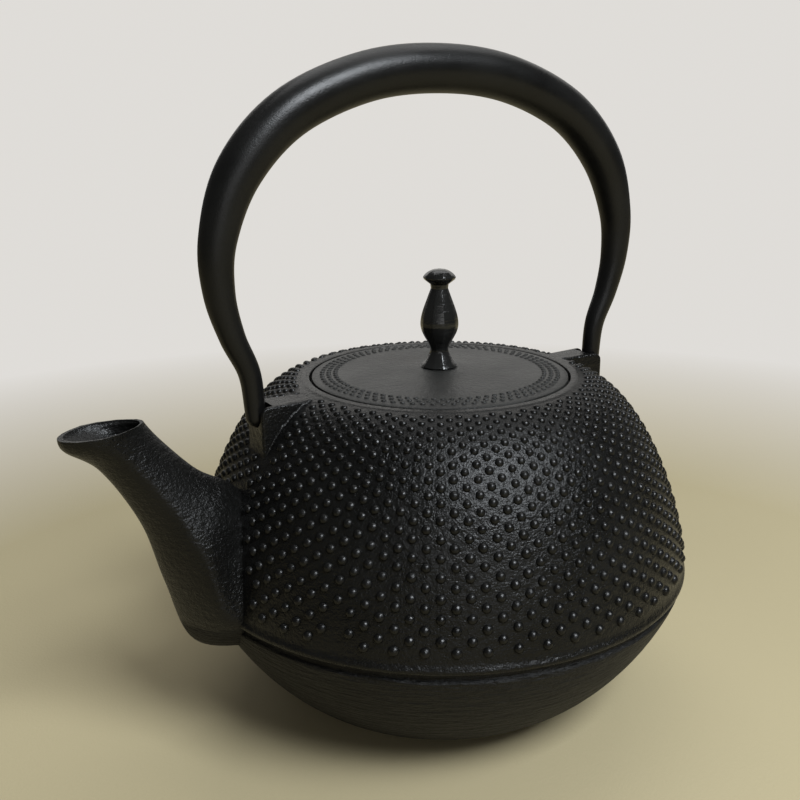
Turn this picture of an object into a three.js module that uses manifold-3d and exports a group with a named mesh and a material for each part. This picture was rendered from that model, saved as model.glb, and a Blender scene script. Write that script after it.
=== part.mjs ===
import * as THREE from 'three';
import { mergeVertices } from 'three/addons/utils/BufferGeometryUtils.js';
import Module from 'manifold-3d';

// A cast-iron kettle: a body with two lugs, its hollow spout, a lid that drops into the mouth
// with a riveted knob, and a bail whose toes hook into the lugs. The spout is cast with the
// body, and is a solid of its own here.
// Millimetres, +Z up. The origin is the centre of the flat foot, and the spout points to -X.

// Clearances: between faces that touch, and all round the lid
const gap = 0.3;
const lidClearance = 0.8;

// Body: a bowl, a band set back under a ridge, a domed shoulder and a flat ring at the mouth
const wall = 3.2;
const floorThickness = 4;
const footRadius = 46;
const ridgeRadius = 96.2;
const bowlRadius = ridgeRadius - 1.6;
const bandRadius = ridgeRadius - 2.4;
const bowlHeight = 49.4;
const bandTop = bowlHeight + 4;
const ringTop = 126.9;
const ringWidth = 3;

// Mouth: a recess for the lid's plate over a smaller hole for its flange
const recessRadius = 50;
const recessDepth = 3.1;
const recessChamfer = 0.4;
const ledgeWidth = 6;
const ledgeThickness = 3.4;
const ledgeHeight = ringTop - recessDepth;
const mouthRadius = recessRadius - ledgeWidth;
const ringEdge = recessRadius + ringWidth;

// Spout sections from inside the wall to the lip. Each has its top and underside as [out from
// the ridge, up from the bowl's edge], the half-width, how far up the widest line lies, and
// the thickness of the metal; sideFlatness turns the round sides towards a lens shape
const spoutSections = [
  { top: [-22.2, 38.6], under: [-12.2, -11.9], half: 20.9, widest: 0.33, metal: 5 },
  { top: [-13.6, 45.6], under: [8.3, -4.4], half: 20.2, widest: 0.31, metal: 4.6 },
  { top: [-6.7, 51.4], under: [16.7, 18.1], half: 17, widest: 0.4, metal: 3.6 },
  { top: [2.8, 57.4], under: [23.2, 41.6], half: 12.2, widest: 0.42, metal: 2.8 },
  { top: [13.4, 68.8], under: [34.8, 62.6], half: 9.1, widest: 0.42, metal: 2 },
  { top: [19.3, 76.9], under: [46.3, 72.1], half: 9.4, widest: 0.43, metal: 1.7 },
  { top: [19.6, 77.4], under: [47, 75.4], half: 9.5, widest: 0.45, metal: 1.7 },
];
const pastLip = [3, 4];
const sideFlatness = 0.2;

// Dots of the shoulder, in staggered rings one above the other. Each solid dot is a low
// pyramid, and stands for about five of the real ones, which are too many for a plain solid
const dotsPerRing = 30;
const dotRings = 10;
const dotSides = 4;
const dotRadius = 3.2;
const dotHeight = 1.1;
const dotSunk = 0.6;
const dotsFrom = 6;
const dotsTo = 78;

// Bail: half of its centreline as [share of the way out to the toes' root, height above
// their axis, bar radius], from the crown down to the leg's foot
const legRadius = 3.6;
const bailHalf = [[0, 116.5, 8.5], [0.397, 113.2, 8.4], [0.773, 101.6, 8.3], [1.018, 83.4, 7.8],
  [1.131, 62.1, 6.4], [1.14, 44.5, 5.4], [1.092, 29.1, 4.5], [1.02, 15.6, 3.9], [1, 0, legRadius]];
const toeRadius = 2.35;
const toeBare = 0.9;
const toeReach = 2.8;

// Lugs: blocks on the shoulder, notched at the outer top edge, with a pocket for each toe
const swingRoom = 1.6;
const cheek = 1.6;
const notchHalf = legRadius + swingRoom;
const lugOuterHalf = notchHalf + cheek;
const lugInnerHalf = lugOuterHalf - 1.8;
const lugInnerX = ringEdge + 1;
const lugLength = 22.7;
const lugOuterX = lugInnerX + lugLength;
const lugTop = ringTop - 0.9;
const lugDepth = 28;
const lugCorner = 2;
const lugRound = 3;
const lugBevel = 0.6;
const pivotDepth = 4.3;
const pivotHeight = lugTop - pivotDepth;
const pivotX = lugOuterX - 0.4;
const notchX = pivotX - legRadius - toeBare;
const notchFloor = pivotHeight - legRadius - gap;
const toeTipX = notchX - toeReach;

// Lid: radii of its plate and flange, and heights above the face it rests on
const lidRadius = recessRadius - lidClearance;
const lidEdge = 2.9;
const lidEdgeRound = 0.7;
const lidPlate = 2.9;
const seatRadius = 12.2;
const seatHeight = 5.2;
const domeHeights = [3.2, 3.7, 4.4, 4.7];
const domeRadii = [lidRadius - 3.8, lidRadius - 11.2, lidRadius - 24.2, seatRadius + 1.2];
const flangeOuter = mouthRadius - lidClearance;
const flangeWall = 3.2;
const flangeDepth = 6.6;
const lidRest = ledgeHeight + gap;
const seatTop = lidRest + seatHeight;
const lidUnderside = seatTop - lidPlate;

// Knob: ten flat sides as [radius, height above its foot], then a round tenon through the lid
const knobSides = 10;
const knobFoot = seatTop + gap;
const knobStem = [[7.2, 0.4], [4.6, 3.3], [3.5, 6.2], [5.4, 10.2], [7.3, 15.2], [5.9, 21.8], [3.3, 30.1]];
const knobCap = [[3.5, 32.4], [5.9, 33.7], [6.1, 34.3], [2.6, 37.2]];
const tenonRadius = 3;
const washerRadius = 8;
const washerThickness = 1.5;
const headRim = 1.6;
const headHeight = 2.2;
const rivetHole = tenonRadius + gap;

// How finely the round forms are cut
const aroundBody = 60;
const outerSteps = 8;
const innerSteps = 5;
const spoutSides = 24;
const spoutSteps = 18;
const bailSides = 16;
const bailSteps = 40;
const smallSides = 16;
const mergeDistance = 1e-5;
const beyond = 5;

const wasm = await Module();
wasm.setup();

// A solid for joining and cutting, with shared vertices and no collapsed faces
function toSolid(geometry) {
  geometry.deleteAttribute('normal');
  geometry.deleteAttribute('uv');
  const merged = mergeVertices(geometry, mergeDistance);
  const corners = merged.index.array;
  const faces = [];
  for (let i = 0; i < corners.length; i += 3) {
    const [a, b, c] = corners.subarray(i, i + 3);
    if (a !== b && b !== c && c !== a) faces.push(a, b, c);
  }
  const vertProperties = merged.attributes.position.array;
  const triVerts = new Uint32Array(faces);
  return new wasm.Manifold(new wasm.Mesh({ numProp: 3, vertProperties, triVerts }));
}

function toMesh(name, solid, material) {
  const { vertProperties, triVerts } = solid.getMesh();
  const geometry = new THREE.BufferGeometry();
  geometry.setAttribute('position', new THREE.BufferAttribute(vertProperties, 3));
  geometry.setIndex(new THREE.BufferAttribute(triVerts, 1));
  geometry.computeVertexNormals();
  const mesh = new THREE.Mesh(geometry, material);
  mesh.name = name;
  return mesh;
}

const vectors = (pairs) => pairs.map(([x, y]) => new THREE.Vector2(x, y));

const curvePoints = (handles, steps) => new THREE.CubicBezierCurve(...vectors(handles)).getPoints(steps);

// Turns an outline of [radius, height] points about the Z axis, from a starting angle
function revolve(outline, sides, start = 0) {
  return toSolid(new THREE.LatheGeometry(outline, sides, start).rotateX(Math.PI / 2));
}

// A round bar along X between two places, at the given height
function barAlongX(radius, fromX, toX, height) {
  const bar = new THREE.CylinderGeometry(radius, radius, toX - fromX, smallSides);
  return toSolid(bar.rotateZ(Math.PI / 2).translate((fromX + toX) / 2, 0, height));
}

// A round bar on the Z axis between two heights
function barAlongZ(radius, bottom, top) {
  const bar = new THREE.CylinderGeometry(radius, radius, top - bottom, smallSides);
  return toSolid(bar.rotateX(Math.PI / 2).translate(0, 0, (bottom + top) / 2));
}

// Bends a unit cylinder: place(along, x, z) gives the point for each place along its length
function loft(sides, steps, place) {
  const geometry = new THREE.CylinderGeometry(1, 1, 1, sides, steps);
  const position = geometry.attributes.position;
  for (let i = 0; i < position.count; i += 1) {
    const point = place(position.getY(i) + 0.5, position.getX(i), position.getZ(i));
    position.setXYZ(i, ...point);
  }
  return toSolid(geometry);
}

// The same outline moved inwards by a distance, for the inner face of the casting
function insetOutline(points, distance) {
  return points.map((point, i) => {
    const before = points[Math.max(i - 1, 0)];
    const after = points[Math.min(i + 1, points.length - 1)];
    const along = after.clone().sub(before).normalize();
    return new THREE.Vector2(point.x - along.y * distance, point.y + along.x * distance);
  });
}

// The two curves of the body's outline, as [radius, height] starts, handles and ends
const bowlCurve = [[footRadius, 0], [footRadius + 16, 1.6], [bowlRadius - 10.6, bowlHeight - 27],
  [bowlRadius, bowlHeight]];
const shoulderCurve = [[ridgeRadius - 1.1, bandTop + 4.6], [ridgeRadius - 4.6, bandTop + 29.8],
  [ringEdge + 22.7, ringTop - 2.7], [ringEdge + 0.5, ringTop - 0.2]];

function bodyOutside(grownBy = 0) {
  const bandAndRidge = vectors([
    [bandRadius, bowlHeight + 0.9],
    [bandRadius + 0.5, bandTop],
    [ridgeRadius - 0.5, bandTop + 0.2],
    [ridgeRadius, bandTop + 1.1],
    [ridgeRadius - 0.3, bandTop + 2.2],
  ]);
  const outline = [
    new THREE.Vector2(0, 0),
    ...curvePoints(bowlCurve, outerSteps),
    ...bandAndRidge,
    ...curvePoints(shoulderCurve, outerSteps),
    new THREE.Vector2(ringEdge, ringTop),
    new THREE.Vector2(0, ringTop),
  ];
  return revolve(insetOutline(outline, -grownBy), aroundBody, Math.PI / aroundBody);
}

function bodyCavity() {
  const inner = (handles) => insetOutline(curvePoints(handles, innerSteps), wall);
  const bowl = inner(bowlCurve).filter((point) => point.y > floorThickness);
  const shoulder = inner(shoulderCurve).filter((point) => point.x > ringEdge + 5);
  const floorRadius = bowl[0].x - wall;
  const ledgeUnderside = ledgeHeight - ledgeThickness;
  const mouth = vectors([
    [recessRadius, ledgeUnderside],
    [mouthRadius, ledgeUnderside],
    [mouthRadius, ledgeHeight],
    [recessRadius, ledgeHeight],
    [recessRadius, ringTop - recessChamfer],
    [recessRadius + recessChamfer, ringTop],
    [recessRadius + recessChamfer, ringTop + beyond],
    [0, ringTop + beyond],
  ]);
  const bottom = vectors([[0, floorThickness], [floorRadius, floorThickness]]);
  return revolve([...bottom, ...bowl, ...shoulder, ...mouth], aroundBody);
}

// The spout's section drawn in by the thickness of its metal
function insetSection({ top, under, half, widest, metal }) {
  const rise = new THREE.Vector2(top[0] - under[0], top[1] - under[1]).setLength(metal);
  return {
    top: [top[0] - rise.x, top[1] - rise.y],
    under: [under[0] + rise.x, under[1] + rise.y],
    half: half - metal,
    widest,
  };
}

// The same section a little past the lip, so that the channel opens there
function carriedOn({ top, under, half, widest }) {
  const moved = ([out, up]) => [out + pastLip[0], up + pastLip[1]];
  return { top: moved(top), under: moved(under), half, widest };
}

// A loft through the sections, each with one curve above its widest line and one below
function spoutLoft(sections) {
  const curveOf = (end, other) => new THREE.CatmullRomCurve3(sections.map((section) => {
    const [out, up] = section[end];
    return new THREE.Vector3(-ridgeRadius - out, section[other], bowlHeight + up);
  }));
  const topCurve = curveOf('top', 'half');
  const underCurve = curveOf('under', 'widest');
  return loft(spoutSides, spoutSteps, (along, up, side) => {
    const top = topCurve.getPoint(along);
    const under = underCurve.getPoint(along);
    const reach = up * (1 - sideFlatness + sideFlatness * Math.abs(up));
    const height = under.y + reach * (up > 0 ? 1 - under.y : under.y);
    const x = THREE.MathUtils.lerp(under.x, top.x, height);
    const z = THREE.MathUtils.lerp(under.z, top.z, height);
    return [x, -top.y * side, z];
  });
}

// The lug's block on the +X side: a tapered plan, rounded over at its outer top edge
function lugBlock() {
  const plan = new THREE.Shape();
  plan.moveTo(lugInnerX, -lugInnerHalf);
  plan.lineTo(lugOuterX - lugCorner, -lugOuterHalf);
  plan.quadraticCurveTo(lugOuterX, -lugOuterHalf, lugOuterX, lugCorner - lugOuterHalf);
  plan.lineTo(lugOuterX, lugOuterHalf - lugCorner);
  plan.quadraticCurveTo(lugOuterX, lugOuterHalf, lugOuterX - lugCorner, lugOuterHalf);
  plan.lineTo(lugInnerX, lugInnerHalf);
  const block = new THREE.ExtrudeGeometry(plan, {
    depth: lugDepth - 2 * lugBevel,
    bevelThickness: lugBevel,
    bevelSize: lugBevel,
    bevelOffset: -lugBevel,
    bevelSegments: 1,
    curveSegments: 4,
  });
  block.translate(0, 0, lugTop - lugDepth + lugBevel);

  const side = new THREE.Shape();
  side.moveTo(lugInnerX, lugTop - lugDepth);
  side.lineTo(lugOuterX, lugTop - lugDepth);
  side.lineTo(lugOuterX, lugTop - lugRound);
  side.absarc(lugOuterX - lugRound, lugTop - lugRound, lugRound, 0, Math.PI / 2);
  side.lineTo(lugInnerX, lugTop);
  const depth = 2 * (lugOuterHalf + beyond);
  const envelope = new THREE.ExtrudeGeometry(side, { depth, bevelEnabled: false, curveSegments: 5 });
  envelope.rotateX(Math.PI / 2).translate(0, depth / 2, 0);
  return toSolid(block).intersect(toSolid(envelope));
}

// What the lug loses: a round-bottomed notch for the bail's leg and a pocket for its toe
function lugCut() {
  const centre = notchFloor + notchHalf;
  const outline = new THREE.Shape();
  outline.moveTo(notchHalf, lugTop + beyond);
  outline.lineTo(-notchHalf, lugTop + beyond);
  outline.lineTo(-notchHalf, centre);
  outline.absarc(0, centre, notchHalf, Math.PI, 2 * Math.PI);
  const depth = lugOuterX + beyond - notchX;
  const notch = new THREE.ExtrudeGeometry(outline, { depth, bevelEnabled: false, curveSegments: 10 });
  const turn = new THREE.Matrix4().makeBasis(
    new THREE.Vector3(0, 1, 0),
    new THREE.Vector3(0, 0, 1),
    new THREE.Vector3(1, 0, 0),
  );
  notch.applyMatrix4(turn).translate(notchX, 0, 0);
  const pocket = barAlongX(toeRadius + gap, toeTipX - gap, notchX + 1, pivotHeight);
  return toSolid(notch).add(pocket);
}

// The dots, each square to the shoulder, without those that a cover reaches
function shoulderDots(covers) {
  const curve = new THREE.CubicBezierCurve(...vectors(shoulderCurve));
  const length = curve.getLength();
  const pyramid = new THREE.ConeGeometry(dotRadius, dotHeight + dotSunk, dotSides);
  const dot = toSolid(pyramid.translate(0, (dotHeight - dotSunk) / 2, 0));
  const dots = [];
  for (let ring = 0; ring < dotRings; ring += 1) {
    const share = THREE.MathUtils.lerp(dotsFrom, dotsTo, ring / (dotRings - 1)) / length;
    const point = curve.getPointAt(share);
    const along = curve.getTangentAt(share);
    const lean = new THREE.Matrix4().makeRotationZ(-Math.atan2(along.y, -along.x));
    const upright = new THREE.Matrix4().makeRotationX(Math.PI / 2);
    const place = upright.multiply(lean).setPosition(point.x, 0, point.y);
    for (let i = 0; i < dotsPerRing; i += 1) {
      const angle = (2 * Math.PI * (i + (ring % 2) / 2)) / dotsPerRing;
      const turn = new THREE.Matrix4().makeRotationZ(angle).multiply(place);
      const placed = dot.transform(turn.toArray());
      if (covers.minGap(placed, 2 * gap) > gap) dots.push(placed);
    }
  }
  return wasm.Manifold.union(dots);
}

// Adds the copy of a solid turned half round the Z axis
const bothSides = (solid) => solid.add(solid.rotate([0, 0, 180]));

// The way from the cavity to the lip, which passes through the body's wall and the spout
function spoutChannel() {
  const sections = spoutSections.map(insetSection);
  return spoutLoft([...sections, carriedOn(sections.at(-1))]);
}

function kettleBody(material) {
  const lugs = bothSides(lugBlock());
  const solid = bodyOutside()
    .add(lugs)
    .add(shoulderDots(lugs.add(spoutLoft(spoutSections))))
    .subtract(bodyCavity())
    .subtract(spoutChannel())
    .subtract(bothSides(lugCut()));
  return toMesh('kettle_body', solid, material);
}

// The spout, trimmed to the body's outside
function spout(material) {
  const solid = spoutLoft(spoutSections).subtract(spoutChannel()).subtract(bodyOutside(gap));
  return toMesh('spout', solid, material);
}

function lid(material) {
  const flangeInner = flangeOuter - flangeWall;
  const flangeBottom = lidRest - flangeDepth;
  const outline = vectors([
    [0, lidUnderside],
    [seatRadius, lidUnderside],
    [flangeInner, lidRest + domeHeights[1] - lidPlate],
    [flangeInner, flangeBottom],
    [flangeOuter, flangeBottom],
    [flangeOuter, lidRest],
    [lidRadius, lidRest],
    [lidRadius, lidRest + lidEdge - lidEdgeRound],
    [lidRadius - lidEdgeRound, lidRest + lidEdge],
    ...domeRadii.map((radius, i) => [radius, lidRest + domeHeights[i]]),
    [seatRadius, seatTop],
    [0, seatTop],
  ]);
  const hole = barAlongZ(rivetHole, flangeBottom, seatTop + beyond);
  return toMesh('lid', revolve(outline, aroundBody).subtract(hole), material);
}

function knob(material) {
  const raised = (pairs) => vectors(pairs.map(([radius, height]) => [radius, knobFoot + height]));
  const stem = new THREE.SplineCurve(raised(knobStem)).getPoints(2 * knobStem.length);
  const outline = [
    ...raised([[0, 0], [knobStem[0][0], 0]]),
    ...stem,
    ...raised([...knobCap, [0, knobCap.at(-1)[1]]]),
  ];
  const headTop = lidUnderside - washerThickness - 2 * gap;
  const headRadius = tenonRadius + headRim;
  const rivet = vectors([
    [0, headTop - headHeight],
    [headRadius * 0.6, headTop - headHeight * 0.8],
    [headRadius, headTop],
    [tenonRadius, headTop],
    [tenonRadius, knobFoot + gap],
    [0, knobFoot + gap],
  ]);
  const solid = revolve(outline, knobSides).add(revolve(rivet, smallSides));
  return toMesh('knob', solid, material);
}

function knobWasher(material) {
  const top = lidUnderside - gap;
  const bottom = top - washerThickness;
  const hole = barAlongZ(rivetHole, bottom - beyond, top + beyond);
  return toMesh('knob_washer', barAlongZ(washerRadius, bottom, top).subtract(hole), material);
}

// The bail's bar: a loft from foot to foot over the arch, a rounded end and a toe at each side
function bail(material) {
  const place = (side) => ([share, up, radius]) => (
    new THREE.Vector3(side * share * pivotX, radius, pivotHeight + up)
  );
  const left = bailHalf.slice(1).reverse().map(place(-1));
  const right = bailHalf.map(place(1));
  const centreline = new THREE.CatmullRomCurve3([...left, ...right]);
  const bar = loft(bailSides, bailSteps, (along, out, across) => {
    const centre = centreline.getPoint(along);
    const heading = centreline.getTangent(along).setY(0).normalize();
    const radius = centre.y;
    return [centre.x - heading.z * out * radius, across * radius, centre.z + heading.x * out * radius];
  });
  const ball = new THREE.SphereGeometry(legRadius, bailSides, smallSides / 2);
  const end = toSolid(ball.rotateX(Math.PI / 2).translate(pivotX, 0, pivotHeight));
  const toe = barAlongX(toeRadius, toeTipX, pivotX, pivotHeight);
  return toMesh('bail', bar.add(bothSides(end.add(toe))), material);
}

const iron = (color, roughness) => new THREE.MeshStandardMaterial({ color, roughness, metalness: 0.75 });

const kettle = new THREE.Group();
kettle.add(kettleBody(iron(0x2b2a28, 0.62)));
kettle.add(spout(iron(0x2c2b29, 0.6)));
kettle.add(lid(iron(0x3a3935, 0.5)));
kettle.add(knob(iron(0x34332f, 0.38)));
kettle.add(knobWasher(iron(0x55534e, 0.5)));
kettle.add(bail(iron(0x262524, 0.5)));

export default kettle;
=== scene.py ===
import bpy
import bmesh
import math
import random
from mathutils import Matrix, Vector
from mathutils.bvhtree import BVHTree


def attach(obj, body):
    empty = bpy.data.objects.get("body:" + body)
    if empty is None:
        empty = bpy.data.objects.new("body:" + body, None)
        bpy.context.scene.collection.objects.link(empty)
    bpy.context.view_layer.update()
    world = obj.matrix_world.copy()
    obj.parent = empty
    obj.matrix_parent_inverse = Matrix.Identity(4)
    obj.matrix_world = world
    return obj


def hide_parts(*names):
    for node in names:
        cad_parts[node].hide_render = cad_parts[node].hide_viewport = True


# A cast-iron kettle with a dotted shoulder. Sizes below are millimetres, the scene is metres.
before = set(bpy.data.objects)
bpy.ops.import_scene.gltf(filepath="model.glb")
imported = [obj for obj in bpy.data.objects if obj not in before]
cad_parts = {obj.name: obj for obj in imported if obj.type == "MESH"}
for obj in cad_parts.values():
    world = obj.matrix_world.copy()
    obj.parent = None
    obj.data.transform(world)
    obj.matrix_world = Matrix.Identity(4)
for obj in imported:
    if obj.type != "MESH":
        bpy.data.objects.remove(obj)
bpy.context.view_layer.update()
mm = 0.001
random.seed(7)


# Helpers for modelling

def deselectAll():
    if bpy.context.mode != "OBJECT":
        bpy.ops.object.mode_set(mode="OBJECT")
    bpy.ops.object.select_all(action="DESELECT")


def makeActive(piece):
    deselectAll()
    piece.select_set(True)
    bpy.context.view_layer.objects.active = piece


def editMesh(piece, mode="VERT"):
    makeActive(piece)
    bpy.ops.object.mode_set(mode="EDIT")
    bpy.ops.mesh.select_mode(type=mode)
    bpy.ops.mesh.select_all(action="DESELECT")


def leaveEdit():
    bpy.ops.object.mode_set(mode="OBJECT")


def newest(name):
    piece = bpy.context.active_object
    piece.name = name
    piece.data.name = name
    return piece


def bakePlace(piece):
    makeActive(piece)
    bpy.ops.object.transform_apply(location=True, rotation=True, scale=True)


def tidyMesh(piece, distance=0.00001):
    editMesh(piece)
    bpy.ops.mesh.select_all(action="SELECT")
    bpy.ops.mesh.remove_doubles(threshold=distance)
    bpy.ops.mesh.normals_make_consistent(inside=False)
    leaveEdit()


def smoothByAngle(piece, degrees):
    makeActive(piece)
    bpy.ops.object.shade_smooth_by_angle(angle=math.radians(degrees))


def applyModifier(piece, kind, **settings):
    makeActive(piece)
    modifier = piece.modifiers.new(kind.title(), kind)
    for key, value in settings.items():
        setattr(modifier, key, value)
    bpy.ops.object.modifier_apply(modifier=modifier.name)


def joinCut(piece, other, operation):
    applyModifier(piece, "BOOLEAN", object=other, operation=operation, solver="EXACT")
    bpy.data.objects.remove(other, do_unlink=True)


def joinPieces(piece, others):
    deselectAll()
    for other in others:
        other.select_set(True)
    piece.select_set(True)
    bpy.context.view_layer.objects.active = piece
    bpy.ops.object.join()


def copyOf(piece, name):
    twin = piece.copy()
    twin.data = piece.data.copy()
    twin.name = name
    bpy.context.collection.objects.link(twin)
    return twin


def bezierPoints(start, handle, handleBack, end, steps):
    # the points of one Bezier segment as [radius, height], without its last one
    points = []
    for i in range(steps):
        t = i / steps
        weights = ((1 - t) ** 3, 3 * t * (1 - t) ** 2, 3 * t * t * (1 - t), t ** 3)
        points.append([
            sum(w * p[axis] for w, p in zip(weights, (start, handle, handleBack, end)))
            for axis in (0, 1)
        ])
    return points


def insetPoints(points, distance):
    # a line drawn to the left of the given one, at an even distance
    moved = []
    for i, point in enumerate(points):
        before = points[max(i - 1, 0)]
        after = points[min(i + 1, len(points) - 1)]
        along = Vector((after[0] - before[0], after[1] - before[1])).normalized()
        moved.append([point[0] - along.y * distance, point[1] + along.x * distance])
    return moved


def throughPoints(points, count):
    # Catmull-Rom points through the given ones, ends included
    samples = []
    spans = len(points) - 1
    for i in range(count + 1):
        place = min(i * spans / count, spans - 1e-9)
        k = int(place)
        t = place - k
        p1 = Vector(points[k])
        p2 = Vector(points[k + 1])
        p0 = Vector(points[k - 1]) if k > 0 else p1 * 2 - p2
        p3 = Vector(points[k + 2]) if k + 2 <= spans else p2 * 2 - p1
        samples.append(0.5 * (
            2 * p1 + (p2 - p0) * t + (2 * p0 - 5 * p1 + 4 * p2 - p3) * t * t
            + (3 * p1 - p0 - 3 * p2 + p3) * t ** 3
        ))
    return samples


def turned(name, points, steps):
    # a vertex, extruded through the profile's points and spun about the Z axis
    bpy.ops.mesh.primitive_plane_add(size=mm, location=(0, 0, 0))
    piece = newest(name)
    editMesh(piece)
    bpy.ops.mesh.select_all(action="SELECT")
    bpy.ops.mesh.merge(type="CENTER")
    last = points[0]
    bpy.ops.transform.translate(value=(last[0] * mm, 0, last[1] * mm))
    for point in points[1:]:
        step = ((point[0] - last[0]) * mm, 0, (point[1] - last[1]) * mm)
        bpy.ops.mesh.extrude_region_move(TRANSFORM_OT_translate={"value": step})
        last = point
    bpy.ops.mesh.select_all(action="SELECT")
    bpy.ops.mesh.spin(steps=steps, angle=2 * math.pi, center=(0, 0, 0), axis=(0, 0, 1))
    leaveEdit()
    tidyMesh(piece)
    return piece


def lofted(name, rings):
    # circles added one by one and pulled to the rings' points, then faces from each to the next
    piece = None
    for ring in rings:
        bpy.ops.mesh.primitive_circle_add(vertices=len(ring), radius=mm)
        circle = newest(name)
        for vertex, point in zip(circle.data.vertices, ring):
            vertex.co = Vector(point) * mm
        if piece is None:
            piece = circle
        else:
            joinPieces(piece, [circle])
    size = len(rings[0])
    lastRing = (len(rings) - 1) * size
    editMesh(piece, "EDGE")
    work = bmesh.from_edit_mesh(piece.data)
    work.verts.ensure_lookup_table()
    for start in range(0, lastRing, size):
        for i in range(size):
            a, b = start + i, start + (i + 1) % size
            work.faces.new([work.verts[v] for v in (a, b, b + size, a + size)])
    for start in (0, lastRing):
        work.faces.new([work.verts[start + i] for i in range(size)])
    bmesh.update_edit_mesh(piece.data)
    leaveEdit()
    tidyMesh(piece, 1e-7)
    return piece


# Helpers for materials

class Socket:
    # wraps a node's output, so that shader maths is written as plain expressions
    def __init__(self, material, link):
        self.material = material
        self.link = link

    def maths(self, operation, first, second):
        return self.material.add("ShaderNodeMath", {"operation": operation}, {0: first, 1: second})

    def __add__(self, other):
        return self.maths("ADD", self, other)

    def __sub__(self, other):
        return self.maths("SUBTRACT", self, other)

    def __rsub__(self, other):
        return self.maths("SUBTRACT", other, self)

    def __mul__(self, other):
        return self.maths("MULTIPLY", self, other)

    __radd__ = __add__
    __rmul__ = __mul__

    def ramp(self, low, high, toLow=0.0, toHigh=1.0):
        return self.material.add("ShaderNodeMapRange", {"clamp": True}, {
            "Value": self, "From Min": low, "From Max": high, "To Min": toLow, "To Max": toHigh,
        })


class Finish:
    # one material and the methods that add its nodes
    def __init__(self, name):
        self.material = bpy.data.materials.new(name)
        self.material.use_nodes = True
        self.nodes = self.material.node_tree.nodes
        self.links = self.material.node_tree.links
        self.shader = self.nodes["Principled BSDF"]
        self.place = self.add("ShaderNodeTexCoord", {}, {}, "Object")

    def add(self, kind, settings, inputs, output=0):
        node = self.nodes.new(kind)
        for key, value in settings.items():
            setattr(node, key, value)
        for key, value in inputs.items():
            self.feed(node.inputs[key], value)
        return Socket(self, node.outputs[output])

    def feed(self, socket, value):
        if isinstance(value, Socket):
            self.links.new(value.link, socket)
        else:
            socket.default_value = value

    def noise(self, scale, detail=2, roughness=0.5, place=None):
        return self.add("ShaderNodeTexNoise", {}, {
            "Vector": place or self.place, "Scale": scale, "Detail": detail, "Roughness": roughness,
        })

    def cells(self, scale):
        return self.add("ShaderNodeTexVoronoi", {}, {"Vector": self.place, "Scale": scale}, "Distance")

    def stretched(self, scale):
        return self.add("ShaderNodeMapping", {}, {"Vector": self.place, "Scale": scale})

    def mixed(self, share, first, second):
        mix = self.nodes.new("ShaderNodeMix")
        mix.data_type = "RGBA"
        self.feed(mix.inputs["Factor"], share)
        for key, colour in ((6, first), (7, second)):   # the colour sockets A and B
            self.feed(mix.inputs[key], (*colour, 1))
        return Socket(self, mix.outputs[2])

    def bump(self, height, distance, strength):
        return self.add("ShaderNodeBump", {}, {
            "Height": height, "Distance": distance, "Strength": strength,
        })

    def finish(self, colour, rough, normal, **fixed):
        self.feed(self.shader.inputs["Base Color"], colour)
        self.feed(self.shader.inputs["Roughness"], rough)
        self.feed(self.shader.inputs["Normal"], normal)
        for key, value in fixed.items():
            self.shader.inputs[key.replace("_", " ")].default_value = value
        return self.material


def giveMaterial(piece, material):
    piece.data.materials.clear()
    piece.data.materials.append(material)


# Kettle body: its profile as [radius, height], from the foot up the outside and down again within
kettle = {
    "foot": [[0, 0], [45, 0], [45.6, 0.02]],
    "bowl": ([46, 0], [62, 1.6], [84, 22.4], [94.6, 49.4]),
    "ridge": [
        [94.45, 49.2], [94.55, 49.7], [94.3, 50.2], [93.75, 50.5], [93.65, 51], [93.7, 52.4],
        [93.85, 53], [94.4, 53.35], [95.4, 53.5], [95.9, 53.75], [96.15, 54.2], [96.18, 54.8],
        [96.05, 55.3], [95.7, 55.8], [95.35, 56.6], [95.15, 57.4],
    ],
    "shoulder": ([95.1, 58], [91.6, 83.2], [75.7, 124.2], [53.5, 126.7]),
    "mouth": [
        [53.6, 126.62], [53.3, 126.82], [52.9, 126.9], [50.6, 126.9], [50.2, 126.75],
        [50, 126.4], [50, 124.0], [49.8, 123.8], [44.5, 123.8], [44.1, 123.7], [44, 123.3],
        [44, 120.4], [50, 120.4],
    ],
    "wall": 3.2,
    "floor": 4,
    "wallEnds": 58,   # where the inner shoulder meets the ledge of the mouth
    "bowlSteps": 34,
    "shoulderSteps": 40,
    "innerBowlSteps": 14,
    "innerShoulderSteps": 16,
    "steps": 180,
    "cavityFloor": 4.001,   # the cavity is cut again, a hair smaller, to clear the spout and lugs
    "cavityTop": [[50, 120.399], [0, 120.399]],
    "cavitySteps": 90,
}


def innerWall(floor):
    # the inside from the floor up to the ledge
    bowl = insetPoints(bezierPoints(*kettle["bowl"], kettle["innerBowlSteps"]), kettle["wall"])
    shoulder = insetPoints(
        bezierPoints(*kettle["shoulder"], kettle["innerShoulderSteps"]), kettle["wall"])
    return [p for p in bowl if p[1] > floor] + [p for p in shoulder if p[0] > kettle["wallEnds"]]


def bodyProfile():
    outside = kettle["foot"] + bezierPoints(*kettle["bowl"], kettle["bowlSteps"])[1:] + kettle["ridge"]
    outside += bezierPoints(*kettle["shoulder"], kettle["shoulderSteps"])
    inside = innerWall(kettle["floor"])
    corner = [inside[0][0] - kettle["wall"], kettle["floor"]]
    return outside + kettle["mouth"] + inside[::-1] + [corner, [0, kettle["floor"]]]


def cavityProfile():
    floor = kettle["cavityFloor"]
    return [[0, floor]] + innerWall(floor) + kettle["cavityTop"]


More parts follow.
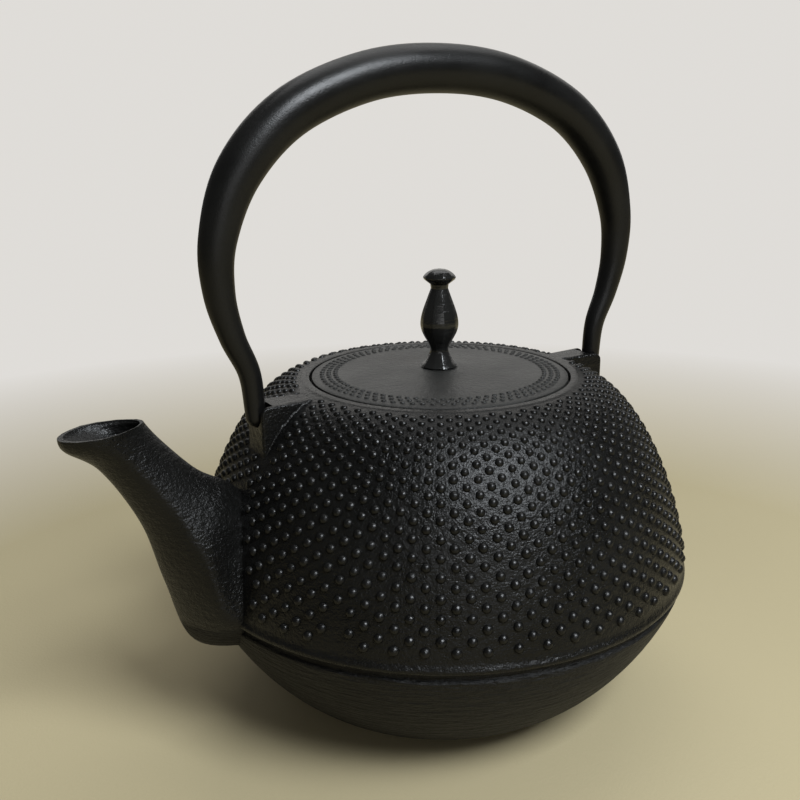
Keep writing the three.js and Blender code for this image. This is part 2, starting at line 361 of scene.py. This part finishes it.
# Spout: its sections as [x, z] of the top and underside, half-width, widest line, metal.
# The dished mouth has sections of its own, which take the place of the last two within.
spout = {
    "sections": [
        ([-74.0, 88.0], [-84.0, 35.2], 20.9, 0.33, 5),
        ([-82.6, 95.0], [-104.5, 43.4], 20.2, 0.31, 4.6),
        ([-89.5, 100.8], [-112.9, 67.5], 17, 0.4, 3.6),
        ([-99.0, 106.8], [-119.4, 91.0], 12.2, 0.42, 2.8),
        ([-109.6, 118.2], [-131.0, 112.0], 9.1, 0.42, 2),
        ([-115.6, 126.4], [-142.1, 121.2], 9.4, 0.43, 1.9),
        ([-117.4, 131.4], [-143.2, 128.0], 9.6, 0.45, 1.9),
    ],
    "mouth": [
        ([-114.6, 121.6], [-129.2, 117.4], 6.4, 0.45),
        ([-116.6, 124.4], [-131.6, 120.9], 6.7, 0.45),
        ([-117.1, 125.6], [-138.6, 122.9], 7.7, 0.44),
        ([-117.0, 126.8], [-141.3, 124.7], 8.5, 0.44),
        ([-118.4, 131.2], [-142.4, 128.8], 8.8, 0.44),
    ],
    "rim": ([-115.8, 126.8], [-142.5, 125.0]),   # top and nose of the mouth
    "flatness": 0.6,
    "channelFlatness": 0.2,
    "pinch": 1.3,
    "fadeShare": 0.45,
    "around": 72,
    "along": 60,
}


def spoutRings(sections, flatness, pinch):
    # a pinch over 1 draws the rings to an edge along their widest line, fading out at the mouth
    around, along = spout["around"], spout["along"]
    tops = throughPoints([(s[0][0], s[2], s[0][1]) for s in sections], along)
    unders = throughPoints([(s[1][0], s[3], s[1][1]) for s in sections], along)
    rings = []
    for step, (top, under) in enumerate(zip(tops, unders)):
        ring = []
        share = min(1, (1 - step / along) / spout["fadeShare"])
        edge = 1 + (pinch - 1) * share
        flat = spout["channelFlatness"] + (flatness - spout["channelFlatness"]) * share
        for i in range(around):
            angle = 2 * math.pi * i / around
            side, up = math.cos(angle), math.sin(angle)
            side = math.copysign(abs(side) ** edge, side)
            reach = up * (1 - flat + flat * abs(up))
            height = under.y + reach * ((1 - under.y) if up > 0 else under.y)
            x = under.x + (top.x - under.x) * height
            z = under.z + (top.z - under.z) * height
            ring.append((x, -top.y * side, z))
        rings.append(ring)
    return rings


def cutAtRim(piece, rim):
    # trims the lofted blank along the sloping mouth and closes the cut
    (topX, topZ), (noseX, noseZ) = rim
    slope = Vector((noseX - topX, 0, noseZ - topZ)).normalized()
    upwards = Vector((slope.z, 0, -slope.x))
    editMesh(piece)
    bpy.ops.mesh.select_all(action="SELECT")
    bpy.ops.mesh.bisect(
        plane_co=(topX * mm, 0, topZ * mm), plane_no=upwards, use_fill=True, clear_outer=True)
    leaveEdit()


def channelSections(sections, mouth):
    # the outer sections drawn in by the metal, then the dished mouth
    drawnIn = []
    for top, under, half, widest, metal in sections[:-2]:
        rise = Vector((top[0] - under[0], top[1] - under[1])).normalized() * metal
        drawnIn.append((
            [top[0] - rise.x, top[1] - rise.y], [under[0] + rise.x, under[1] + rise.y],
            half - metal, widest,
        ))
    return drawnIn + mouth


# Lugs: the notched blocks that carry the bail
lug = {
    "inner": 54,
    "outer": 76.7,
    "top": 126,
    "depth": 28,
    "innerHalf": 5,
    "outerHalf": 6.8,
    "roundTop": 3,
    "roundSteps": 6,
    "bevel": 0.8,
    "bevelSteps": 3,
    "notchHalf": 5.2,
    "notchX": 71.8,
    "notchFloor": 117.8,
    "notchRise": 8,
    "notchPastEnd": 4,
    "pocketTip": 69,
    "pocketRoom": 0.3,
    "pocketRadius": 2.65,
    "pivot": 121.7,
    "bead": 0.7,
    "beadFlat": 0.7,
    "beadTip": 0.3,
    "beadFrom": 57,
    "beadTo": 76.2,
    "beadSteps": 24,
    "beadSides": 10,
    "curveSteps": 60,
}


def lugBlock():
    # a box, tapered in plan, with its outer top edge rounded and its long edges bevelled
    middle = (lug["inner"] + lug["outer"]) / 2
    bpy.ops.mesh.primitive_cube_add(size=1, location=(
        middle * mm, 0, (lug["top"] - lug["depth"] / 2) * mm))
    piece = newest("lugBlock")
    piece.scale = ((lug["outer"] - lug["inner"]) * mm, 2 * lug["outerHalf"] * mm, lug["depth"] * mm)
    bakePlace(piece)
    editMesh(piece)
    work = bmesh.from_edit_mesh(piece.data)
    for vertex in work.verts:
        vertex.select = vertex.co.x < middle * mm
    work.select_flush(True)
    bpy.ops.transform.resize(value=(1, lug["innerHalf"] / lug["outerHalf"], 1))
    bpy.ops.mesh.select_all(action="DESELECT")
    bpy.ops.mesh.select_mode(type="EDGE")
    work = bmesh.from_edit_mesh(piece.data)
    for edge in work.edges:
        ends = [vertex.co for vertex in edge.verts]
        edge.select = all(p.x > middle * mm and p.z > (lug["top"] - 1) * mm for p in ends)
    bpy.ops.mesh.bevel(offset=lug["roundTop"] * mm, segments=lug["roundSteps"], affect="EDGES")
    bpy.ops.mesh.select_all(action="DESELECT")
    work = bmesh.from_edit_mesh(piece.data)
    for edge in work.edges:
        a, b = (vertex.co for vertex in edge.verts)
        lengthwise = abs(a.y - b.y) < 0.1 * mm or abs(a.x - b.x) > 5 * mm
        corner = len(edge.link_faces) == 2 and edge.calc_face_angle() > math.radians(60)
        edge.select = lengthwise and corner
    bpy.ops.mesh.bevel(offset=lug["bevel"] * mm, segments=lug["bevelSteps"], affect="EDGES")
    leaveEdit()
    return piece


def notchCutter():
    # a round bar along X at the notch's floor, its top half drawn up past the lug's top
    length = lug["outer"] + lug["notchPastEnd"] - lug["notchX"]
    centre = lug["notchFloor"] + lug["notchHalf"]
    bpy.ops.mesh.primitive_cylinder_add(
        vertices=32, radius=lug["notchHalf"] * mm, depth=length * mm,
        location=((lug["notchX"] + length / 2) * mm, 0, centre * mm), rotation=(0, math.pi / 2, 0))
    piece = newest("notchCutter")
    bakePlace(piece)
    for vertex in piece.data.vertices:
        if vertex.co.z > (centre + 0.1) * mm:
            vertex.co.y = math.copysign(lug["notchHalf"] * mm, vertex.co.y)
            vertex.co.z += lug["notchRise"] * mm
    return piece


def pocketCutter():
    # a round bar from the pocket's bottom to just inside the notch
    tip = lug["pocketTip"] - lug["pocketRoom"]
    length = lug["notchX"] + 1 - tip
    bpy.ops.mesh.primitive_cylinder_add(
        vertices=24, radius=lug["pocketRadius"] * mm, depth=length * mm,
        location=((tip + length / 2) * mm, 0, lug["pivot"] * mm), rotation=(0, math.pi / 2, 0))
    piece = newest("pocketCutter")
    bakePlace(piece)
    return piece


def lugBead(side):
    # the small fillet where a lug's side runs into the shoulder
    curve = bezierPoints(*kettle["shoulder"], lug["curveSteps"])
    slope = (lug["outerHalf"] - lug["innerHalf"]) / (lug["outer"] - lug["inner"])
    rings = []
    for step in range(lug["beadSteps"] + 1):
        x = lug["beadFrom"] + (lug["beadTo"] - lug["beadFrom"]) * (step / lug["beadSteps"])
        y = lug["innerHalf"] + slope * (x - lug["inner"])
        _, z = min(curve, key=lambda p: abs(p[0] - math.hypot(x, y)))
        radius = lug["bead"] * (1 if 0 < step < lug["beadSteps"] else lug["beadTip"])
        ring = []
        for k in range(lug["beadSides"]):
            turn = 2 * math.pi * k / lug["beadSides"]
            ring.append((
                x + radius * math.cos(turn) * lug["beadFlat"], side * (y + radius * math.sin(turn)),
                z + radius * math.cos(turn),
            ))
        rings.append(ring)
    return lofted("lugBead", rings)


def onOtherSide(piece):
    twin = copyOf(piece, piece.name + "Left")
    twin.data.transform(Matrix.Rotation(math.pi, 4, "Z"))
    return twin


def onBothSides(piece, operation):
    twin = onOtherSide(piece)
    joinCut(body, piece, operation)
    joinCut(body, twin, operation)


body = turned("kettle_casting", bodyProfile(), kettle["steps"])
spoutOuter = lofted("spoutOuter", spoutRings(spout["sections"], spout["flatness"], spout["pinch"]))
cutAtRim(spoutOuter, spout["rim"])
spoutTree = BVHTree.FromObject(spoutOuter, bpy.context.evaluated_depsgraph_get())   # keeps dots off it
joinCut(body, spoutOuter, "UNION")
onBothSides(lugBlock(), "UNION")
joinCut(body, turned("cavity", cavityProfile(), kettle["cavitySteps"]), "DIFFERENCE")
channel = lofted("channel", spoutRings(
    channelSections(spout["sections"], spout["mouth"]), spout["channelFlatness"], 1.0))
joinCut(body, channel, "DIFFERENCE")
onBothSides(notchCutter(), "DIFFERENCE")
onBothSides(pocketCutter(), "DIFFERENCE")
beads = []
for side in (-1, 1):
    bead = lugBead(side)
    beads += [bead, onOtherSide(bead)]
joinPieces(body, beads)
smoothByAngle(body, 38)
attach(body, "kettle")
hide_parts("kettle_body", "spout")
print("kettle casting:", len(body.data.polygons), "faces")


# Hobnails: one dot, placed once in each row and spun round the kettle
hobnails = {
    "perRow": 60,
    "firstAngle": 0.07,
    "firstRow": 2.8,
    "firstStep": 3.6,
    "stepLoss": 0.0195,
    "lastRadius": 54.8,
    "lowRadius": 1.85,
    "highRadius": 1.3,
    "lowHeight": 1.35,
    "highHeight": 0.8,
    "shrinkPower": 1.4,
    "sunk": 0.3,
    "sides": 10,
    "taper": 0.93,
    "baseShare": 0.26,
    "insets": ((0.16, 0.31), (0.26, 0.27), (0.27, 0.16)),   # inward by radii, up by heights
    "clearOfSpout": 2.4,
    "clearOfLugEnd": 1.2,
    "clearOfLugSide": 2.3,
    "drift": 0.16,
    "sizeDrift": 0.07,
    "curveSteps": 600,
}


def oneDot(name, radius, height):
    # a low cone with its top inset and raised three times, so that it is a round drop
    sunk, rise = hobnails["sunk"], height * hobnails["baseShare"]
    bpy.ops.mesh.primitive_cone_add(
        vertices=hobnails["sides"], radius1=radius * mm, radius2=radius * hobnails["taper"] * mm,
        depth=(sunk + rise) * mm, location=(0, 0, (rise - sunk) / 2 * mm))
    piece = newest(name)
    bakePlace(piece)
    editMesh(piece, "FACE")
    work = bmesh.from_edit_mesh(piece.data)
    for face in work.faces:
        face.select = face.normal.z < -0.9
    bpy.ops.mesh.delete(type="FACE")
    work = bmesh.from_edit_mesh(piece.data)
    for face in work.faces:
        face.select = face.normal.z > 0.9
    for inset, up in hobnails["insets"]:
        bpy.ops.mesh.inset(thickness=inset * radius * mm)
        bpy.ops.transform.translate(value=(0, 0, up * height * mm))
    leaveEdit()
    return piece


def shoulderRows():
    # the place and slope of each row, found along the shoulder's curve
    curve = [Vector(p) for p in bezierPoints(*kettle["shoulder"], hobnails["curveSteps"])]
    lengths = [0]
    for a, b in zip(curve, curve[1:]):
        lengths.append(lengths[-1] + (b - a).length)
    rows = []
    distance = hobnails["firstRow"]
    while distance < lengths[-1]:
        k = next(i for i, length in enumerate(lengths) if length >= distance)
        point = curve[k]
        if point.x < hobnails["lastRadius"]:
            break
        rows.append((point, (curve[min(k + 1, len(curve) - 1)] - curve[k - 1]).normalized()))
        distance += hobnails["firstStep"] - hobnails["stepLoss"] * distance
    return rows


def isClear(point):
    # true where neither the spout nor a lug covers the dot
    nearest, normal, _, _ = spoutTree.find_nearest(point)
    if (point - nearest).dot(normal) < hobnails["clearOfSpout"] * mm:
        return False
    besideX = abs(point.x) < (lug["outer"] + hobnails["clearOfLugEnd"]) * mm
    besideY = abs(point.y) < (lug["outerHalf"] + hobnails["clearOfLugSide"]) * mm
    return not (besideX and besideY)


def jitterDots(piece, size, angle):
    # moves and resizes each dot a little, as hand-pressed dots are, and drops the covered ones
    vertices = piece.data.vertices
    covered = []
    for start in range(0, len(vertices), size):
        block = vertices[start:start + size]
        centre = sum((vertex.co for vertex in block), Vector()) / size
        drift = Vector([random.uniform(-1, 1) * hobnails["drift"] * mm for _ in range(3)])
        grow = 1 + random.uniform(-1, 1) * hobnails["sizeDrift"]
        outward = Vector((centre.x, centre.y, 0)).normalized()
        normal = outward * angle[0] + Vector((0, 0, angle[1]))
        drift -= normal * drift.dot(normal)
        for vertex in block:
            vertex.co = centre + (vertex.co - centre) * grow + drift
        if not isClear(centre):
            covered.extend(range(start, start + size))
    editMesh(piece)
    work = bmesh.from_edit_mesh(piece.data)
    work.verts.ensure_lookup_table()
    for index in covered:
        work.verts[index].select = True
    bpy.ops.mesh.delete(type="VERT")
    leaveEdit()


def dotRow(name, row, point, slope, count, radius, height):
    # every second row is turned by half a step; also gives the size of one dot and its normal
    dot = oneDot(name, radius, height)
    normal = Vector((slope.y, -slope.x))
    tilt = math.atan2(normal.x, normal.y)
    turn = 2 * math.pi * (hobnails["firstAngle"] + 0.5 * (row % 2)) / count
    place = Matrix.Rotation(turn, 4, "Z") @ Matrix.Translation((point.x * mm, 0, point.y * mm))
    dot.data.transform(place @ Matrix.Rotation(tilt, 4, "Y"))
    size = len(dot.data.vertices)
    editMesh(dot)
    bpy.ops.mesh.select_all(action="SELECT")
    bpy.ops.mesh.spin(
        steps=count - 1, angle=2 * math.pi * (count - 1) / count, dupli=True,
        center=(0, 0, 0), axis=(0, 0, 1))
    leaveEdit()
    return dot, size, (normal.x, normal.y)


def shrinking(key, share):
    # a size between the lowest row's and the highest row's
    low, high = hobnails["low" + key], hobnails["high" + key]
    return low + (high - low) * share ** hobnails["shrinkPower"]


rowPieces = []
rows = shoulderRows()
for row, (point, slope) in enumerate(rows):
    share = row / (len(rows) - 1)
    dots, size, angle = dotRow(
        "hobnails", row, point, slope, hobnails["perRow"], shrinking("Radius", share),
        shrinking("Height", share))
    jitterDots(dots, size, angle)
    rowPieces.append(dots)
nails = rowPieces[0]
joinPieces(nails, rowPieces[1:])
smoothByAngle(nails, 60)
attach(nails, "kettle")
print("hobnails:", len(rows), "rows,", len(nails.data.polygons), "faces")


# Lid: a thin disc with a flange below, a dished edge, a dotted border and a raised seat,
# as [radius, height over the ledge's contact]
lidSizes = {
    "rest": 124.1,
    "below": [
        [3.3, 2.3], [12.2, 2.3], [40, 0.8], [40, -6.4], [40.2, -6.6], [43, -6.6], [43.2, -6.4],
        [43.2, -0.2], [43.4, 0], [48.9, 0], [49.2, 0.3],
    ],
    "top": [
        [49.2, 2.2], [49.05, 2.65], [48.6, 2.9], [47, 3], [45.4, 3.2], [42, 3.45], [38, 3.7],
        [32, 4.05], [25, 4.35], [19, 4.45], [16.2, 4.5], [13.6, 4.62], [11.4, 4.84], [9.6, 5.06],
        [8.2, 5.18], [7.4, 5.2], [3.6, 5.2], [3.3, 4.9],
    ],
    "dotRows": (45.2, 42.7, 40.1),
    "dotSlope": (-1, 0.08),
    "dotsPerRow": 80,
    "dotRadius": 1.0,
    "dotHeight": 0.55,
    "steps": 160,
}


def lidProfile(part):
    return [[radius, lidSizes["rest"] + up] for radius, up in lidSizes[part]]


def lidTopAt(radius):
    profile = lidProfile("top")
    for (r1, z1), (r2, z2) in zip(profile, profile[1:]):
        if r2 <= radius <= r1:
            return z1 + (z2 - z1) * (r1 - radius) / (r1 - r2)
    return profile[-1][1]


underside = lidProfile("below")
lidPiece = turned("lid_disc", underside + lidProfile("top") + underside[:1], lidSizes["steps"])
smoothByAngle(lidPiece, 40)
lidRows = []
for row, radius in enumerate(lidSizes["dotRows"]):
    dots, _, _ = dotRow(
        "lidDots", row, Vector((radius, lidTopAt(radius))), Vector(lidSizes["dotSlope"]).normalized(),
        lidSizes["dotsPerRow"], lidSizes["dotRadius"], lidSizes["dotHeight"])
    lidRows.append(dots)
joinPieces(lidPiece, lidRows)
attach(lidPiece, "lid")
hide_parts("lid")
print("lid:", len(lidPiece.data.polygons), "faces")


# Knob: a ten-sided stem with crisp filed edges, a cap, and the tenon through the lid,
# as [radius, height over the foot]
knobSizes = {
    "foot": 129.6,
    "sides": 10,
    "base": [[0, 0], [6.9, 0], [7.2, 0.25]],
    "stem": [
        [7.2, 0.4], [4.9, 3.2], [3.5, 6.2], [4.15, 8.6], [5.55, 11.1], [6.75, 13.6], [7.3, 16.3],
        [6.95, 19.4], [6.1, 22.4], [4.8, 26], [3.3, 30.1],
    ],
    "stemSteps": 60,
    "cap": [
        [3.5, 31.6], [4.4, 32.3], [5.7, 33.3], [6.1, 33.9], [6.15, 34.4], [5.6, 35.3], [4.4, 36.3],
        [2.9, 37.0], [1.4, 37.3],
    ],
    "capSteps": 40,
    "tip": [[0, 37.4]],
    "edge": 0.22,
    "smoothAngle": 11,
    "lidUnderside": 126.4,
    "washer": 2.1,
    "head": [[0, 2.2], [2, 2.1], [3.6, 1.6], [4.4, 0.8], [4.6, 0.1], [4.5, 0]],   # down from its top
    "tenonRadius": 3,
    "tenonInto": 0.3,
    "tenonSides": 48,
}


def smoothLine(points, steps):
    return [[p.x, p.y] for p in throughPoints([(r, z, 0) for r, z in points], steps)]


def knobProfile():
    stem = smoothLine(knobSizes["stem"], knobSizes["stemSteps"])
    cap = smoothLine(knobSizes["cap"], knobSizes["capSteps"])
    points = knobSizes["base"] + stem[1:] + cap + knobSizes["tip"]
    return [[radius, knobSizes["foot"] + height] for radius, height in points]


def tenonProfile():
    headTop = knobSizes["lidUnderside"] - knobSizes["washer"]
    radius, top = knobSizes["tenonRadius"], knobSizes["foot"] + knobSizes["tenonInto"]
    head = [[r, headTop - down] for r, down in knobSizes["head"]]
    return head + [[radius, headTop], [radius, top], [0, top]]


knobPiece = turned("knob_turned", knobProfile(), knobSizes["sides"])
editMesh(knobPiece, "EDGE")
work = bmesh.from_edit_mesh(knobPiece.data)
for edge in work.edges:
    a, b = (vertex.co for vertex in edge.verts)
    flatA, flatB = Vector((a.x, a.y)), Vector((b.x, b.y))
    sameSide = flatA.length > mm and flatB.length > mm and flatA.angle(flatB) < 0.01
    edge.select = sameSide and abs(a.z - b.z) > 0.1 * mm
bpy.ops.mesh.bevel(offset=knobSizes["edge"] * mm, segments=2, affect="EDGES")
leaveEdit()
joinCut(knobPiece, turned("tenon", tenonProfile(), knobSizes["tenonSides"]), "UNION")
smoothByAngle(knobPiece, knobSizes["smoothAngle"])
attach(knobPiece, "lid")
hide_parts("knob")
print("knob:", len(knobPiece.data.polygons), "faces")


# Bail: a round bar drawn along its arch, with rounded ends and a toe at each side.
# Half of it as [share of pivotX, height over the pivot, radius], from the crown to the foot
bailSizes = {
    "pivotX": 76.3,
    "pivot": 121.7,
    "half": [
        [0, 116.5, 8.5], [0.397, 113.2, 8.4], [0.773, 101.6, 8.3], [1.018, 83.4, 7.8],
        [1.131, 62.1, 6.4], [1.14, 44.5, 5.4], [1.092, 29.1, 4.5], [1.02, 15.6, 3.9], [1, 0, 3.6],
    ],
    "endRadius": 3.6,
    "around": 40,
    "along": 150,
    "toeRadius": 2.35,
    "toeTip": 69,
}


def bailRings():
    half = bailSizes["half"]
    pivotX, pivot = bailSizes["pivotX"], bailSizes["pivot"]
    path = [(-share * pivotX, r, pivot + up) for share, up, r in half[:0:-1]]
    path += [(share * pivotX, r, pivot + up) for share, up, r in half]
    samples = throughPoints(path, bailSizes["along"])
    across = Vector((0, 1, 0))
    rings = []
    for i, sample in enumerate(samples):
        heading = samples[min(i + 1, len(samples) - 1)] - samples[max(i - 1, 0)]
        heading.y = 0
        heading.normalize()
        outward = Vector((-heading.z, 0, heading.x))
        centre = Vector((sample.x, 0, sample.z))
        ring = []
        for k in range(bailSizes["around"]):
            angle = 2 * math.pi * k / bailSizes["around"]
            ring.append(centre + (outward * math.cos(angle) + across * math.sin(angle)) * sample.y)
        rings.append(ring)
    return rings


bailPiece = lofted("bail_bar", bailRings())
for sign in (-1, 1):
    bpy.ops.mesh.primitive_uv_sphere_add(
        segments=40, ring_count=20, radius=bailSizes["endRadius"] * mm,
        location=(sign * bailSizes["pivotX"] * mm, 0, bailSizes["pivot"] * mm))
    end = newest("bailEnd")
    bakePlace(end)
    joinCut(bailPiece, end, "UNION")
    middle = (bailSizes["pivotX"] + bailSizes["toeTip"]) / 2
    bpy.ops.mesh.primitive_cylinder_add(
        vertices=28, radius=bailSizes["toeRadius"] * mm,
        depth=(bailSizes["pivotX"] - bailSizes["toeTip"]) * mm,
        location=(sign * middle * mm, 0, bailSizes["pivot"] * mm), rotation=(0, math.pi / 2, 0))
    toe = newest("toe")
    bakePlace(toe)
    joinCut(bailPiece, toe, "UNION")
smoothByAngle(bailPiece, 40)
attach(bailPiece, "bail")
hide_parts("bail")
print("bail:", len(bailPiece.data.polygons), "faces")


# Finishes: lacquered cast iron, its dots, a smoother lid, filed flats, a satin bar, plain steel.
# grain, fine and streaks are heights of the skin's bump, matteFoot the added roughness of the bowl
finishes = {
    "lacqueredCasting": {
        "dark": (0.002, 0.002, 0.0019), "light": (0.005, 0.005, 0.0046), "rough": 0.21,
        "gloss": 0.22, "grain": 0.46, "fine": 0.22, "streaks": 0.1, "matteFoot": 0.3,
    },
    "hobnailTops": {
        "dark": (0.002, 0.002, 0.0019), "light": (0.005, 0.005, 0.0047), "rough": 0.22,
        "gloss": 0.26, "grain": 0.12, "fine": 0.08, "streaks": 0.02, "matteFoot": 0.0,
    },
    "lidCasting": {
        "dark": (0.009, 0.009, 0.0086), "light": (0.02, 0.02, 0.0182), "rough": 0.34,
        "gloss": 0.28, "grain": 0.3, "fine": 0.2, "streaks": 0.1, "matteFoot": 0.0,
    },
    "filedIron": {
        "dark": (0.003, 0.003, 0.0029), "light": (0.009, 0.009, 0.0084), "rough": 0.08,
        "gloss": 0.5, "grain": 0.05, "fine": 0.04, "streaks": 0.1, "matteFoot": 0.0,
    },
    "satinForging": {
        "dark": (0.002, 0.002, 0.002), "light": (0.006, 0.006, 0.0057), "rough": 0.26,
        "gloss": 0.25, "grain": 0.05, "fine": 0.05, "streaks": 0.0, "matteFoot": 0.0,
    },
    "dullSteel": {
        "dark": (0.16, 0.155, 0.145), "light": (0.26, 0.255, 0.24), "rough": 0.42,
        "gloss": 0.5, "grain": 0.04, "fine": 0.05, "streaks": 0.05, "matteFoot": 0.0,
    },
}
skin = {
    "bandFoot": 0.0505,   # heights in metres between which the bowl's matte skin gives way
    "bandTop": 0.0535,
    "patchScale": 38,
    "sandScale": 1500,
    "grainScale": 520,
    "pitScale": 900,
    "streakScale": (90, 90, 620),
    "deepStreaks": 3,   # how much more the bowl's streaks show than matteFoot
    "bumpDistance": 0.001,
    "bumpStrength": 0.9,
}


def castIron(name):
    look = finishes[name]
    finish = Finish(name)
    level = finish.add("ShaderNodeSeparateXYZ", {}, {0: finish.place}, "Z")
    below = level.ramp(skin["bandFoot"], skin["bandTop"], look["matteFoot"], 0.0)
    patches = finish.noise(skin["patchScale"], 3).ramp(0.35, 0.7)
    sand = finish.noise(skin["sandScale"], 3, 0.6)
    grain = finish.noise(skin["grainScale"], 2, 0.55)
    pits = finish.cells(skin["pitScale"]).ramp(0.0, 0.35)
    brushed = finish.noise(1, 3, 0.6, finish.stretched(skin["streakScale"])).ramp(0.3, 0.7)
    colour = finish.mixed(patches * 0.6 + pits * 0.25, look["dark"], look["light"])
    roughness = look["rough"] + patches * 0.1 + sand * 0.12 - brushed * 0.05 + below
    height = grain * look["grain"] + sand * look["fine"]
    height += brushed * (below * skin["deepStreaks"] + look["streaks"]) + pits * (look["fine"] * 0.5)
    normal = finish.bump(height, skin["bumpDistance"], skin["bumpStrength"])
    return finish.finish(
        colour, roughness, normal, Metallic=0.0, IOR=1.5, Specular_IOR_Level=look["gloss"])


giveMaterial(body, castIron("lacqueredCasting"))
giveMaterial(nails, castIron("hobnailTops"))
giveMaterial(lidPiece, castIron("lidCasting"))
giveMaterial(knobPiece, castIron("filedIron"))
giveMaterial(bailPiece, castIron("satinForging"))
steel = castIron("dullSteel")
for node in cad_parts.values():
    if hasattr(node, "data") and node.name.startswith("knob_washer"):
        giveMaterial(node, steel)
        print("finishes:", node.name, "has", node.active_material.name)


# Floor, lamps and camera, in metres
studio = {
    "worldColour": (0.9, 0.89, 0.86),
    "backColour": (0.74, 0.72, 0.69),
    "worldStrength": 0.12,
    "floorSize": 6,
    "floorDrop": 0.0004,
    "floorDark": (0.34, 0.29, 0.17),
    "floorLight": (0.38, 0.325, 0.195),
    "floorRough": 0.8,
    "fadeFrom": 0.26,
    "fadeTo": 0.62,
    "lamps": {   # place, target, width and height, watts, colour
        "windowLamp": ((0.14, -0.89, 1.11), (-0.022, -0.07, 0.113), (0.64, 0.52), 27, (0.9, 0.95, 1)),
        "ceilingLamp": ((0.45, 0.5, 1.8), (0, 0, 0.1), (1.7, 1.4), 12, (1, 1, 1)),
        "frontPanel": ((-0.45, -1.3, 0.42), (-0.1, 0, 0.1), (1.0, 0.5), 2.2, (1, 1, 1)),
        "backPanel": ((0.85, 1.25, 0.75), (0, 0, 0.1), (2.4, 1.1), 6, (1, 0.98, 0.94)),
    },
    "eyePlace": (-0.1981, -0.3050, 0.2207),
    "eyeForward": (0.489, 0.827, -0.277),
    "eyeRoll": -0.58,
    "lens": 43.7,
    "sensor": 36,
}

bpy.ops.mesh.primitive_plane_add(size=studio["floorSize"], location=(0, 0, -studio["floorDrop"]))
floor = newest("floor")
floorFinish = Finish("paleFloor")
floorTone = floorFinish.noise(3, 2).ramp(0.3, 0.7)
paleFloor = floorFinish.finish(
    floorFinish.mixed(floorTone, studio["floorDark"], studio["floorLight"]), studio["floorRough"],
    floorFinish.bump(floorFinish.noise(900), 0.0003, 0.3))
farAway = floorFinish.add(
    "ShaderNodeVectorMath", {"operation": "LENGTH"}, {0: floorFinish.place}, "Value")
seen = floorFinish.add("ShaderNodeLightPath", {}, {}, "Is Camera Ray")
fade = farAway.ramp(studio["fadeFrom"], studio["fadeTo"]) * seen   # the floor fades into the backdrop
glow = floorFinish.nodes.new("ShaderNodeEmission")
glow.inputs["Color"].default_value = (*studio["backColour"], 1)
blend = floorFinish.nodes.new("ShaderNodeMixShader")
floorFinish.links.new(fade.link, blend.inputs[0])
floorFinish.links.new(floorFinish.shader.outputs[0], blend.inputs[1])
floorFinish.links.new(glow.outputs[0], blend.inputs[2])
floorFinish.links.new(blend.outputs[0], floorFinish.nodes["Material Output"].inputs[0])
giveMaterial(floor, paleFloor)


def areaLamp(name, place, target, size, power, colour):
    bpy.ops.object.light_add(type="AREA", location=place)
    lamp = bpy.context.active_object
    lamp.name = name
    lamp.data.shape = "RECTANGLE"
    lamp.data.size, lamp.data.size_y = size
    lamp.data.energy = power
    lamp.data.color = colour
    lamp.visible_camera = False
    towards = Vector(target) - Vector(place)
    lamp.rotation_euler = towards.to_track_quat("-Z", "Y").to_euler()


for name, lampSizes in studio["lamps"].items():
    areaLamp(name, *lampSizes)

world = bpy.data.worlds.new("studio")
bpy.context.scene.world = world
world.use_nodes = True
worldNodes = world.node_tree.nodes
worldLinks = world.node_tree.links
background = worldNodes["Background"]
background.inputs["Color"].default_value = (*studio["worldColour"], 1)
background.inputs["Strength"].default_value = studio["worldStrength"]
backdrop = worldNodes.new("ShaderNodeBackground")
backdrop.inputs["Color"].default_value = (*studio["backColour"], 1)
lightPath = worldNodes.new("ShaderNodeLightPath")
choose = worldNodes.new("ShaderNodeMixShader")
worldLinks.new(lightPath.outputs["Is Camera Ray"], choose.inputs[0])
worldLinks.new(background.outputs[0], choose.inputs[1])
worldLinks.new(backdrop.outputs[0], choose.inputs[2])
worldLinks.new(choose.outputs[0], worldNodes["World Output"].inputs[0])

bpy.ops.object.camera_add(location=studio["eyePlace"])
eye = bpy.context.active_object
eye.name = "camera"
eye.data.lens = studio["lens"]
eye.data.sensor_width = studio["sensor"]
aim = Vector(studio["eyeForward"]).to_track_quat("-Z", "Y").to_matrix()
eye.rotation_euler = (aim @ Matrix.Rotation(math.radians(studio["eyeRoll"]), 3, "Z")).to_euler()
bpy.context.scene.camera = eye
bpy.context.scene.view_settings.view_transform = "Standard"
print("floor, lamps and camera: done")
